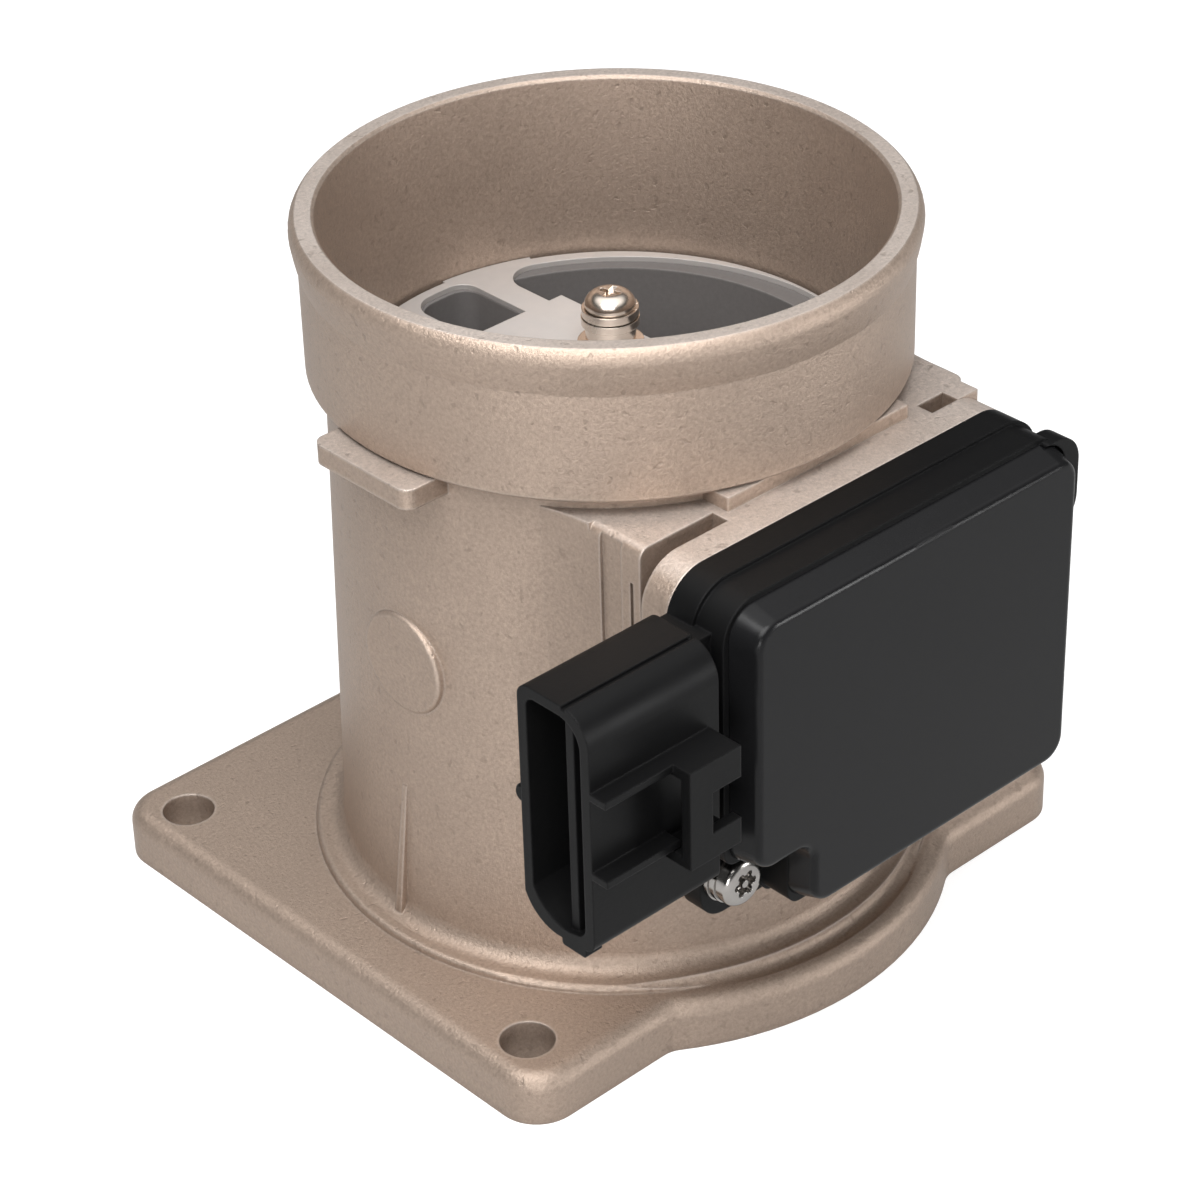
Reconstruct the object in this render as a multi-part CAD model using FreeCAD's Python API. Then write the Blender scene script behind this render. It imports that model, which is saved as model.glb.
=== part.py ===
import FreeCAD, Part
import math
import os

os.makedirs("parts", exist_ok=True)

V = FreeCAD.Vector
X_AXIS = V(1, 0, 0)
Y_AXIS = V(0, 1, 0)
Z_AXIS = V(0, 0, 1)
ORIGIN = V(0, 0, 0)

# The origin is on the bore axis at the flange's lower face. Z runs along the
# bore to the hose sleeve, the electronics module is on the -Y side and its
# connector socket opens towards -X. All sizes are in millimetres.

# Overall heights of the casting
total_height = 103.0
sleeve_length = 21.7
sleeve_bottom = total_height - sleeve_length
flange_thick = 7.5

# Bores and the insert's seat in them
main_bore_r = 34.5
seat_step = 0.6
seat_bore_r = main_bore_r + seat_step
ledge_step = 0.8
ledge_bore_r = seat_bore_r + ledge_step
outlet_taper = 1.6
outlet_bore_r = ledge_bore_r + outlet_taper
rim_chamfer = 0.4
ledge_depth = 27.4
ledge_z = total_height - ledge_depth
insert_height = 25.6
insert_low = ledge_z - insert_height
insert_flange_thick = 0.8
insert_top = ledge_z + insert_flange_thick
plate_thick = 0.8
plate_top = insert_top + plate_thick

# Tube, foot ring and hose sleeve
tube_low_wall = 4.8
tube_low_r = main_bore_r + tube_low_wall
tube_top_wall = 2.4
tube_top_r = seat_bore_r + tube_top_wall
foot_ring_width = 4.1
foot_ring_r = tube_low_r + foot_ring_width
foot_ring_height = 1.1
foot_blend = 2.4
foot_round = 0.7
valley_beyond_ring = 0.4
valley_r = 1.5
valley_rise = 0.9
valley_tilt = 7.5
sleeve_wall = 2.5
sleeve_r = outlet_bore_r + sleeve_wall
sleeve_edge = 0.5
bead_height = 0.9
bead_r = sleeve_r + bead_height
bead_band = 6.6
bead_low = total_height - bead_band
bead_lip = 1.3
bead_top = total_height - bead_lip
rim_round = 0.9

# Bolt flange
flange_half_x = 51.6
flange_front = -38.0
flange_back = 51.4
flange_corner = 6.0
flange_edge_round = 2.4
bolt_edge_x = 6.6
bolt_edge_front = 8.4
bolt_edge_back = 9.0
bolt_hole_r = 3.7
bulge_width = 3.3
bulge_r = foot_ring_r + bulge_width
bulge_blend = 4.0

# Lugs below the sleeve
lug_thick = 2.9
lug_beyond_sleeve = 3.2
lug_half = 9.2
lug_round = 1.8
lug_root = 7.0
bar_beyond_tube = 0.8
bar_half = 16.2

# Round boss and parting rib on the tube
boss_r = 7.3
boss_proud = 0.35
boss_y = -0.3
boss_z = 49.7
boss_round = 0.5
rib_low_y = 1.7
rib_low_width = 1.3
rib_top_y = 0.2
rib_top_width = 0.9
rib_low_proud = 1.2
rib_top_proud = 0.2
rib_top = 30.0

# Module outline, seen along Y. Its heights are taken from the pad's top.
pad_gap = 2.0
body_high = sleeve_bottom - pad_gap
body_height = 51.1
body_low = body_high - body_height
body_left = -32.5
body_right = 29.8
body_corner = 6.2
shoulder_step = 2.1
shoulder_height = 15.8
shoulder_round = 1.0
lug_corner = 4.1

# Depths of the module along Y, from the pad's front face
pad_beyond_tube = 6.5
pad_front = -tube_top_r - pad_beyond_tube
base_depth = 4.3
base_front = pad_front - base_depth
wall_depth = 4.8
joint_y = base_front - wall_depth
cover_depth = 4.3
face_y = joint_y - cover_depth

# Pad that carries the module
pad_inset_left = 2.5
pad_inset_right = 0.8
pad_inset_low = 0.8
pad_left = body_left + pad_inset_left
pad_right = body_right - pad_inset_right
pad_bottom = body_low + pad_inset_low
pad_rim_thick = 4.3
pad_rim_back = pad_front + pad_rim_thick
pad_neck_depth = 2.7
pad_block_front = pad_rim_back + pad_neck_depth
pad_corner_round = 2.0
pad_top_round = 1.5
pad_blend = 18.0
pad_blend_sink = 0.3
neck_left_inset = 5.0
neck_right_inset = 1.0
neck_top_gap = 6.0
neck_top_left = -17.6
slot_left = 19.3
slot_right = 24.2
slot_depth = 5.0
pad_line_set_back = 1.3
pad_line_width = 0.5
pad_line_depth = 0.35
pad_band_start = 3.5
pad_band_width = 3.6
pad_band_depth = 0.4
pad_line_low = 11.8
pad_line_high = 5.4
pad_pocket_depth = 3.4
pad_pocket_left = -23.0
pad_pocket_right = 17.0
pad_pocket_below_top = 6.8
pad_pocket_height = 30.5
pad_pocket_corner = 5.0
pad_pocket_floor = pad_front + pad_pocket_depth
pad_pocket_high = body_high - pad_pocket_below_top
pad_pocket_low = pad_pocket_high - pad_pocket_height

# Module housing
step = 0.6
housing_wall = 2.2
housing_floor = 2.4
ear_width = 11.4
ear_beyond = 1.6
ear_height = 13.9
ear_corner = 4.4
ear_back_depth = 7.0
ear_overlap = 1.1

# Corner notch and its screw
lug_depth = 3.3
lug_front = pad_front - lug_depth
screw_x = body_left + shoulder_step + lug_corner
screw_rise = 6.3
screw_z = body_low + screw_rise
notch_width = 9.8
notch_right = body_left + shoulder_step + notch_width
notch_height = 12.5
notch_top = body_low + notch_height
notch_round = 3.0
notch_outer_round = 2.2

# Module cover
cover_inset_left = 1.5
cover_inset_right = 1.05
cover_inset_low = 1.5
cover_inset_high = 1.4
cover_left = body_left + cover_inset_left
cover_right = body_right - cover_inset_right
cover_low = body_low + cover_inset_low
cover_high = body_high - cover_inset_high
cover_corner = 4.2
draft_left = 0.9
draft_right = 1.5
draft_low = 1.2
draft_high = 1.1
draft_notch = 0.4
face_corner = 3.2
cover_notch_round = 3.0
cover_wall = 1.6
cover_edge_round = 0.9
gate_tab_x = 0.5
gate_tab_long = 6.8
gate_tab_high = 0.85
gate_tab_deep = 0.75
gate_tab_sink = 0.1

# Connector socket
socket_length = 21.0
socket_gap = 3.1
socket_end = body_left - socket_gap
socket_mouth = socket_end - socket_length
socket_floor_thick = 4.4
socket_floor = socket_end - socket_floor_thick
socket_depth = 12.1
socket_back = pad_front
socket_front = socket_back - socket_depth
socket_below_top = 2.7
socket_height = 34.2
socket_top = body_high - socket_below_top
socket_bottom = socket_top - socket_height
socket_wall = 1.5
socket_back_round = 2.0
socket_front_round = 4.6
socket_heel_depth = 6.2
socket_heel_height = 3.8
socket_toe_depth = 1.6
socket_toe_height = 2.0
socket_toe_rise = 0.3
groove_set = 7.6
groove_width = 0.7
groove_depth = 0.5
partition_set = 7.4
partition_thick = 1.3
partition_set_back = 0.8
neck_depth = 7.0
neck_inset_low = 4.1
neck_inset_high = 2.0
nub_below_top = 15.4
nub_height = 2.2
nub_proud = 0.7
nub_set_back = 0.6
nub_length = 1.8
foot_length = 2.6
foot_set = 6.4
foot_width = 4.2
foot_drop = 0.9
foot_edge = 0.4

# Latch rails and bridge on the socket's front wall
rail_proud = 2.6
rail_thick = 1.0
rail_below_top = 10.2
rail_pitch = 11.4
rail_top_z = socket_top - rail_below_top
rail_low_z = rail_top_z - rail_pitch
bridge_set_back = 10.9
bridge_length = 8.4
bridge_proud = 5.4
bridge_post = 3.7
bridge_below_rail = 2.7
bridge_arm_high = 4.5
bridge_arm_low = 3.7
bridge_wall = 1.5
bridge_left = socket_mouth + bridge_set_back
bridge_right = bridge_left + bridge_length
bridge_front = socket_front - bridge_proud
bridge_low = rail_low_z - bridge_below_rail

# Inside the module
heat_plate_thick = 1.0
board_thick = 0.7
board_inset_left = 5.0
board_inset_right = 11.9
board_inset_low = 17.8
board_inset_high = 6.3
board_left = body_left + board_inset_left
board_right = body_right - board_inset_right
board_low = body_low + board_inset_low
board_high = body_high - board_inset_high
plate_margin = 1.0
plate_corner = 1.5
floor_y = pad_front - housing_floor
heat_plate_y = floor_y - heat_plate_thick
board_y = heat_plate_y - board_thick
chip_size = 9.0
chip_tall = 1.6
chip_inset = 2.4
chip_edge = 0.3
leg_count = 6
leg_pitch = 1.36
leg_width = 0.7
leg_reach = 1.1
leg_thick = 0.5
transistor_width = 6.4
transistor_height = 6.5
transistor_tall = 2.2
transistor_tab_inset = 1.0
transistor_tab_height = 2.4
transistor_tab_thick = 1.2
transistor_gap = 1.0
transistor_inset_low = 2.5
capacitor_long = 3.2
capacitor_wide = 1.7
capacitor_tall = 1.3
capacitor_inset = 11.0
capacitor_pitch = 6.0
capacitor_count = 4
inner_screw_inset_x = 7.0
inner_screw_inset_z = 8.8
inner_screw_x = body_right - inner_screw_inset_x

# Terminals
blade_count = 6
blade_pitch = 4.8
blade_first_rise = 6.6
blade_height = 2.2
blade_thick = 0.8
blade_set_back = 3.6
blade_on_board = 3.5
blade_tip_edge = 0.25

# Sensor holder
holder_x = -1.8
holder_drop = 15.6
holder_z = ledge_z - holder_drop
holder_r = 4.6
holder_flange_r = 7.2
holder_flange_thick = 2.5
holder_seal_cord = 1.5
holder_tip_reach = 0.6
holder_flange_end = pad_front + holder_flange_thick
seal_seat_y = holder_flange_end + holder_seal_cord
pin_r = 0.35
pin_half_x = 1.5
pin_half_z = 1.6
pin_reach = 3.6
element_r = 0.45

# Bypass insert
insert_wall = 3.3
insert_bore_r = seat_bore_r - insert_wall
insert_fit = 0.05
block_left = -6.5
block_right = 10.6
block_end = 21.0
bar_left = 4.0
bar_right = 8.3
duct_left = -6.05
duct_wall = 1.8
duct_depth = 14.4
duct_end_wall = 1.9
duct_round = 3.9
duct_small_round = 2.6
passage_r = 3.6
passage_y = -8.0
channel_left = -5.2
channel_right = 1.0
channel_depth = 7.0
block_nose = 4.0

# Bypass cover plate
plate_gap = 0.6
plate_r = ledge_bore_r - plate_gap
plate_tab_start = 65.0
plate_tab_turn = 22.0
window_rim = 0.45
window_arc_r = 35.8
window_centre = (-0.9, -2.1)
window_corner = 4.0
left_window_corner = 3.0
window_low_y = -22.0
small_window_rim = 1.5
left_window_right = -9.5
left_window_top = 15.0
left_window_rim = 1.9

# Cover plate screw and its stack
hub_x = 5.35
hub_y = 5.5
hub_flange_r = 4.5
hub_flange_thick = 1.0
hub_r = 3.4
hub_height = 3.7
hub_top = plate_top + hub_height
shank_r = 2.0
shank_clear = 0.15
thread_depth = 10.4
washer_r = 3.95
washer_thick = 1.1
spring_r = 3.85
spring_wire = 1.1
spring_free = 1.4
spring_gap_turn = 16.0
spring_steps = 12
head_r = 3.45
head_height = 2.1
head_side = 0.6
head_flat_r = 1.55
recess_width = 0.8
recess_span = 3.6
recess_depth = 1.2

# Corner screw and its stack
corner_head_r = 3.4
corner_head_height = 2.1
corner_head_side = 1.4
corner_head_flat_r = 2.5
corner_washer_r = 3.8
corner_washer_thick = 0.8
corner_spring_r = 3.6
corner_spring_thick = 1.0
corner_spring_gap = 1.0
corner_shank_length = 9.8
corner_recess_r = 1.9

# Seals
gasket_width = 2.0
gasket_depth = 1.2
gasket_gap = 0.6
seal_land = 2.7
seal_cord_r = 1.1
seal_ring_r = foot_ring_r - seal_land - seal_cord_r


def box(x0, x1, y0, y1, z0, z1):
    low = V(min(x0, x1), min(y0, y1), min(z0, z1))
    return Part.makeBox(abs(x1 - x0), abs(y1 - y0), abs(z1 - z0), low)


def cylinder(r, start, end):
    along = end.sub(start)
    return Part.makeCylinder(r, along.Length, start, along)


def upright(r, low, high, x=0, y=0):
    return Part.makeCylinder(r, high - low, V(x, y, low))


def revolve_profile(points, angle=360.0, start=0.0):
    # Points are (radius, height). A triple ("arc", middle, end) bends the edge.
    edges = []
    here = V(points[0][0], 0, points[0][1])
    first = here
    for item in points[1:]:
        if item[0] == "arc":
            middle = V(item[1][0], 0, item[1][1])
            there = V(item[2][0], 0, item[2][1])
            edges.append(Part.Arc(here, middle, there).toShape())
        else:
            there = V(item[0], 0, item[1])
            edges.append(Part.LineSegment(here, there).toShape())
        here = there
    edges.append(Part.LineSegment(here, first).toShape())
    solid = Part.Face(Part.Wire(edges)).revolve(ORIGIN, Z_AXIS, angle)
    solid.rotate(ORIGIN, Z_AXIS, start)
    return solid


def rounded_outline(corners, place):
    # Corners are (a, b, radius) in order, in the plane given by place(a, b).
    # A corner with a radius of zero stays sharp.
    count = len(corners)
    turns = []
    for i in range(count):
        a, b, r = corners[i]
        here = V(a, b, 0)
        before = V(corners[i - 1][0], corners[i - 1][1], 0).sub(here).normalize()
        after = V(corners[(i + 1) % count][0], corners[(i + 1) % count][1], 0).sub(here).normalize()
        half = before.getAngle(after) / 2
        reach = r / math.tan(half)
        inward = before.add(after).normalize()
        middle = here.add(inward * (r / math.sin(half) - r))
        turns.append((here.add(before * reach), middle, here.add(after * reach), r))
    edges = []
    last = turns[-1][2]
    for start, middle, end, r in turns:
        edges.append(Part.LineSegment(place(last.x, last.y), place(start.x, start.y)).toShape())
        if r > 0:
            edges.append(Part.Arc(place(start.x, start.y), place(middle.x, middle.y),
                                  place(end.x, end.y)).toShape())
        last = end
    return Part.Wire(edges)


def rounded_wire(a0, a1, b0, b1, r, place):
    return rounded_outline([(a1, b0, r), (a1, b1, r), (a0, b1, r), (a0, b0, r)], place)


def along_y(wire, y0, y1):
    return Part.Face(wire).extrude(V(0, y1 - y0, 0))


def rounded_block(x0, x1, z0, z1, r, y0, y1):
    # A block with rounded corners in XZ that runs along Y.
    return along_y(rounded_wire(x0, x1, z0, z1, r, lambda a, b: V(a, y0, b)), y0, y1)


def prism(points, direction):
    wire = Part.makePolygon(points + [points[0]])
    return Part.Face(wire).extrude(direction)


def edges_where(shape, test):
    return [edge for edge in shape.Edges if test(edge.BoundBox)]


def save(name, shape):
    shape = shape.removeSplitter() if len(shape.Solids) == 1 else shape
    if not shape.isValid():
        raise ValueError(name + " is not a valid shape")
    count = len(shape.Solids)
    if count == 1:
        shape = shape.Solids[0]
    shape.exportStep("parts/" + name + ".step")
    print(name, "solids", count, "volume", round(shape.Volume, 1))
    return shape


def save_group(name, shapes):
    return save(name, Part.makeCompound(shapes))


# Casting, flange with its bulge
def make_flange():
    half = flange_half_x
    plate = Part.Face(rounded_wire(-half, half, flange_front, flange_back, flange_corner,
                                   lambda a, b: V(a, b, 0)))
    plate = plate.extrude(V(0, 0, flange_thick))
    flange = plate.fuse(upright(bulge_r, 0, flange_thick)).removeSplitter()
    meet_x = math.sqrt(bulge_r ** 2 - flange_front ** 2)
    inner = edges_where(flange, lambda b: b.XLength < 0.01 and b.YLength < 0.01
                        and abs(abs(b.XMin) - meet_x) < 0.1 and abs(b.YMin - flange_front) < 0.1)
    flange = flange.makeFillet(bulge_blend, inner)
    top = edges_where(flange, lambda b: b.ZMin > flange_thick - 0.01)
    return flange.makeFillet(flange_edge_round, top)


def tube_r_at(z):
    share = (z - flange_thick) / (sleeve_bottom - flange_thick)
    return tube_low_r + share * (tube_top_r - tube_low_r)


def make_outer_turning():
    ring_top = flange_thick + foot_ring_height
    blend_top = ring_top + foot_blend
    r_blend = tube_r_at(blend_top)
    k = foot_round * (1 - math.sqrt(0.5))
    hollow = foot_blend * (1 - math.sqrt(0.5))
    bead_mid = (bead_low + bead_top) / 2
    return revolve_profile([
        (0, flange_thick / 2),
        (foot_ring_r, flange_thick / 2),
        (foot_ring_r, ring_top - foot_round),
        ("arc", (foot_ring_r - k, ring_top - k), (foot_ring_r - foot_round, ring_top)),
        (r_blend + foot_blend, ring_top),
        ("arc", (r_blend + hollow, ring_top + hollow), (r_blend, blend_top)),
        (tube_top_r, sleeve_bottom),
        (sleeve_r - sleeve_edge, sleeve_bottom),
        (sleeve_r, sleeve_bottom + sleeve_edge),
        (sleeve_r, bead_low),
        ("arc", (bead_r - 0.3 * bead_height, bead_mid), (bead_r, bead_top - rim_round)),
        ("arc", (bead_r - 0.22 * rim_round, bead_top + 0.45 * rim_round),
         (bead_r - rim_round, total_height)),
        (0, total_height),
    ])


def make_valley():
    # A round groove outside the foot ring, tilted so that it fades out to both sides.
    path_r = foot_ring_r + valley_beyond_ring
    tool = Part.makeTorus(path_r, valley_r)
    tool.rotate(ORIGIN, X_AXIS, valley_tilt)
    lift = path_r * math.sin(math.radians(valley_tilt))
    tool.translate(V(0, 0, flange_thick + valley_rise + lift))
    return tool


def body_outline(y):
    # The module's outline, narrower at the screw's corner.
    lug_left = body_left + shoulder_step
    shoulder_z = body_low + shoulder_height
    corners = [
        (body_right, body_low, body_corner),
        (body_right, body_high, body_corner),
        (body_left, body_high, body_corner),
        (body_left, shoulder_z, shoulder_round),
        (lug_left, shoulder_z, shoulder_round),
        (lug_left, body_low, lug_corner),
    ]
    return rounded_outline(corners, lambda a, b: V(a, y, b))


def make_pad_block():
    block = box(pad_left, pad_right, pad_block_front, -main_bore_r / 2, pad_bottom, body_high)
    front_right = edges_where(block, lambda b: b.YLength < 0.01 and b.XLength < 0.01
                              and b.YMin < pad_block_front + 0.01 and b.XMin > 0)
    block = block.makeFillet(pad_corner_round, front_right)
    top_left = edges_where(block, lambda b: b.YLength > 5 and b.XMax < pad_left + 0.01
                           and b.ZMin > body_high - 0.01)
    return block.makeFillet(pad_top_round, top_left)


def make_pad_blend(wall_x):
    # The hollow blend from one side wall of the pad to the tube.
    out = 1 if wall_x > 0 else -1
    wires = []
    for z in (pad_bottom, body_high):
        r = tube_r_at(z)
        centre_x = wall_x + out * pad_blend
        centre = V(centre_x, -math.sqrt((r + pad_blend) ** 2 - centre_x ** 2), z)
        on_wall = V(wall_x, centre.y, z)
        share = (r - pad_blend_sink) / (r + pad_blend)
        on_tube = V(centre.x * share, centre.y * share, z)
        toward = on_wall.add(on_tube) * 0.5 - centre
        middle = centre + toward.normalize() * pad_blend
        in_tube = V(wall_x - out, on_tube.y + 1, z)
        in_pad = V(wall_x - 2 * out, on_wall.y, z)
        edges = [Part.Arc(on_wall, middle, on_tube).toShape()]
        for start, end in ((on_tube, in_tube), (in_tube, in_pad), (in_pad, on_wall)):
            edges.append(Part.LineSegment(start, end).toShape())
        wires.append(Part.Wire(edges))
    return Part.makeLoft(wires, True, True)


def make_pad_rim():
    neck_top = body_high - neck_top_gap
    behind = pad_block_front + 1
    neck = box(pad_left + neck_left_inset, pad_right - neck_right_inset, pad_rim_back, behind,
               pad_bottom + 2, neck_top)
    middle = box(neck_top_left, pad_right - neck_right_inset, pad_rim_back, behind, neck_top - 1,
                 body_high)
    rim = along_y(body_outline(pad_front), pad_front, pad_rim_back)
    return [neck, middle, rim]


def make_pad_cuts():
    slot = box(slot_left, slot_right, pad_rim_back, pad_block_front, body_high - slot_depth,
               body_high + 1)
    line_y = pad_block_front + pad_line_set_back
    line = box(pad_left - 1, pad_left + pad_line_depth, line_y, line_y + pad_line_width,
               pad_bottom + pad_line_low, body_high - pad_line_high)
    band_y = pad_block_front + pad_band_start
    band = box(pad_left - 1, pad_left + pad_band_depth, band_y, band_y + pad_band_width,
               pad_bottom - 1, body_high + 1)
    return [slot, line, band]


def make_lugs():
    low = sleeve_bottom - lug_thick
    reach = sleeve_r + lug_beyond_sleeve
    lugs = []
    for side in (-1, 1):
        lug = box(side * reach, side * (tube_top_r - lug_root), -lug_half, lug_half, low, sleeve_bottom)
        tips = edges_where(lug, lambda b: b.ZLength > 1 and abs(b.XMin) > reach - 0.01)
        lugs.append(lug.makeFillet(lug_round, tips))
    bar = box(-bar_half, bar_half, -tube_top_r - bar_beyond_tube, -seat_bore_r + 10, body_high - 1,
              sleeve_bottom)
    return lugs + [bar]


def make_boss_and_rib():
    reach = tube_r_at(boss_z) + boss_proud
    boss = cylinder(boss_r, V(-reach, boss_y, boss_z), V(-main_bore_r + 4, boss_y, boss_z))
    boss = boss.makeFillet(boss_round, edges_where(boss, lambda b: b.XMax < -reach + 0.01))
    root = -main_bore_r - 1.5
    low_reach = -tube_low_r - rib_low_proud
    top_reach = -tube_r_at(rib_top) - rib_top_proud
    side = prism([V(root, -10, flange_thick), V(low_reach, -10, flange_thick), V(top_reach, -10, rib_top),
                  V(root, -10, rib_top + 1)], V(0, 20, 0))
    front = prism([V(-60, rib_low_y - rib_low_width / 2, flange_thick),
                   V(-60, rib_low_y + rib_low_width / 2, flange_thick),
                   V(-60, rib_top_y + rib_top_width / 2, rib_top),
                   V(-60, rib_top_y - rib_top_width / 2, rib_top)], V(60, 0, 0))
    return [boss, side.common(front)]


def make_bore():
    return revolve_profile([
        (0, -1),
        (main_bore_r, -1),
        (main_bore_r, insert_low),
        (seat_bore_r, insert_low),
        (seat_bore_r, ledge_z),
        (ledge_bore_r, ledge_z),
        (outlet_bore_r, total_height - rim_chamfer),
        (outlet_bore_r + rim_chamfer, total_height),
        (outlet_bore_r + rim_chamfer, total_height + 1),
        (0, total_height + 1),
    ])


def make_gasket():
    # A flat ring just outside the pad's pocket, clear of the three screws.
    rings = []
    for grow in (gasket_gap + gasket_width, gasket_gap):
        rings.append(rounded_block(pad_pocket_left - grow, pad_pocket_right + grow,
                                   pad_pocket_low - grow, pad_pocket_high + grow,
                                   pad_pocket_corner + grow, pad_front, pad_front + gasket_depth))
    return rings[0].cut(rings[1])


def inner_screw_heights():
    return [body_low + inner_screw_inset_z, body_high - inner_screw_inset_z]


def screw_places():
    return [(screw_x, screw_z)] + [(inner_screw_x, z) for z in inner_screw_heights()]


def make_casting():
    added = [make_flange(), make_pad_block(), make_pad_blend(pad_left), make_pad_blend(pad_right)]
    body = make_outer_turning().fuse(added + make_pad_rim() + make_lugs() + make_boss_and_rib())
    pad_pocket = rounded_block(pad_pocket_left, pad_pocket_right, pad_pocket_low, pad_pocket_high,
                               pad_pocket_corner, pad_front, pad_pocket_floor)
    tools = [make_bore(), make_valley(), pad_pocket, make_gasket()] + make_pad_cuts()
    for x in (-flange_half_x + bolt_edge_x, flange_half_x - bolt_edge_x):
        for y in (flange_front + bolt_edge_front, flange_back - bolt_edge_back):
            tools.append(upright(bolt_hole_r, -1, flange_thick + 1, x, y))
    ahead = pad_front - 1
    tools.append(cylinder(holder_r, V(holder_x, ahead, holder_z), V(holder_x, -main_bore_r + 5, holder_z)))
    tools.append(cylinder(holder_r + holder_seal_cord, V(holder_x, ahead, holder_z),
                          V(holder_x, seal_seat_y, holder_z)))
    for x, z in screw_places():
        tools.append(cylinder(shank_r, V(x, ahead, z), V(x, pad_front + corner_shank_length, z)))
    groove = plain_ring(seal_ring_r + seal_cord_r, seal_ring_r - seal_cord_r, 2 * seal_cord_r + 1)
    tools.append(moved(groove, 0, 0, -1))
    for tool in tools:
        body = body.cut(tool)
    return body


# Bypass insert with bridge, passage, channel and outlet duct
def small_window(low, high, reach):
    # The bypass outlet, its far corners rounded, inside a circle of the given radius.
    edge = main_bore_r
    outline = [
        (bar_left, block_end, 0),
        (bar_left, edge, 0),
        (duct_left, edge, 0),
        (duct_left, block_end, 0),
    ]
    shape = Part.Face(rounded_outline(outline, lambda a, b: V(a, b, low))).extrude(V(0, 0, high - low))
    shape = shape.common(upright(reach, low, high))
    for side, radius in ((duct_left, duct_round), (bar_left, duct_small_round)):
        corner = edges_where(shape, lambda b: b.ZLength > 0.5 and b.XLength < 0.01
                             and abs(b.XMin - side) < 0.01 and b.YMin > block_end + 1)
        shape = shape.makeFillet(radius, corner)
    return shape


def make_insert():
    ring_space = upright(insert_bore_r, insert_low - 1, insert_top + 1)
    whole = upright(seat_bore_r, insert_low, ledge_z)
    whole = whole.fuse(upright(ledge_bore_r - insert_fit, ledge_z, insert_top))
    block = box(block_left, block_right, -seat_bore_r, block_end, insert_low, insert_top)
    nose = edges_where(block, lambda b: b.YLength > 20 and b.ZMax < insert_low + 0.01)
    nose += edges_where(block, lambda b: b.XLength > 10 and b.ZMax < insert_low + 0.01
                        and b.YMin > 0)
    block = block.makeFillet(block_nose, nose)
    duct_floor = insert_top - duct_depth
    bar = box(bar_left, bar_right, block_end - 1, seat_bore_r, insert_low + block_nose, insert_top)
    duct = box(duct_left - duct_wall, bar_left + 1, block_end - 1, seat_bore_r, duct_floor - duct_wall,
               insert_top)
    bridge = block.fuse([bar, duct]).common(whole)
    duct_space = small_window(duct_floor, insert_top + 1, seat_bore_r - duct_end_wall)
    passage = upright(passage_r, insert_low - 1, insert_top + 1, holder_x, passage_y)
    channel = box(channel_left, channel_right, passage_y - passage_r + 1, block_end + 0.5,
                  insert_top - channel_depth, insert_top + 1)
    stem = cylinder(holder_r, V(holder_x, -seat_bore_r - 1, holder_z),
                    V(holder_x, passage_y - passage_r + holder_tip_reach, holder_z))
    thread = upright(shank_r, insert_top - thread_depth, insert_top + 1, hub_x, hub_y)
    insert = whole.cut(ring_space).fuse(bridge)
    for tool in (duct_space, passage, channel, stem, thread):
        insert = insert.cut(tool)
    return insert


# Cover plate with its windows
def make_cover_plate():
    low = insert_top
    under = low - 1
    over = plate_top + 1
    disc = upright(plate_r, low, plate_top)
    tab = revolve_profile([(plate_r - 1, low), (ledge_bore_r - insert_fit, low),
                           (ledge_bore_r - insert_fit, plate_top), (plate_r - 1, plate_top)],
                          plate_tab_turn, plate_tab_start)
    arc = upright(window_arc_r, under, over, window_centre[0], window_centre[1])
    arc = arc.common(upright(plate_r - window_rim, under, over))
    right = box(bar_right, 40, window_low_y, 40, under, over)
    right = right.cut(box(0, block_right, window_low_y - 1, block_end, under - 1, over + 1))
    right = right.common(arc)
    corners = edges_where(right, lambda b: b.ZLength > 1 and b.XLength < 0.01 and b.YLength < 0.01
                          and abs(b.YMin - block_end) > 1)
    right = right.makeFillet(window_corner, corners)
    small = small_window(under, over, plate_r - small_window_rim)
    left = box(-40, left_window_right, window_low_y, left_window_top, under, over)
    left = left.common(upright(plate_r - left_window_rim, under, over))
    corners = edges_where(left, lambda b: b.ZLength > 1 and b.XLength < 0.01 and b.YLength < 0.01)
    left = left.makeFillet(left_window_corner, corners)
    plate = disc.fuse(tab)
    for window in (right, small, left, upright(shank_r + shank_clear, under, over, hub_x, hub_y)):
        plate = plate.cut(window)
    return plate


# Screws, washers and collar. Each is made along +Z from its seat at zero.
def make_pan_screw(r, height, side, flat_r, shank_length):
    bend = V((r + flat_r) / 2, 0, (height + side) / 2)
    out = V(height - side, 0, r - flat_r).normalize() * (0.2 * (r - flat_r))
    middle = bend.add(out)
    head = revolve_profile([(0, 0), (r, 0), (r, side), ("arc", (middle.x, middle.z), (flat_r, height)),
                            (0, height)])
    return head.fuse(upright(shank_r, -shank_length, 0))


def cross_recess(height):
    half = recess_span / 2
    wide = recess_width / 2
    low = height - recess_depth
    bars = []
    for turn in (0, 90):
        bar = prism([V(-half, -wide, height + 0.2), V(half, -wide, height + 0.2), V(half / 3, -wide, low),
                     V(-half / 3, -wide, low)], V(0, recess_width, 0))
        bar.rotate(ORIGIN, Z_AXIS, turn + 20)
        bars.append(bar)
    return bars[0].fuse(bars[1])


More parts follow.
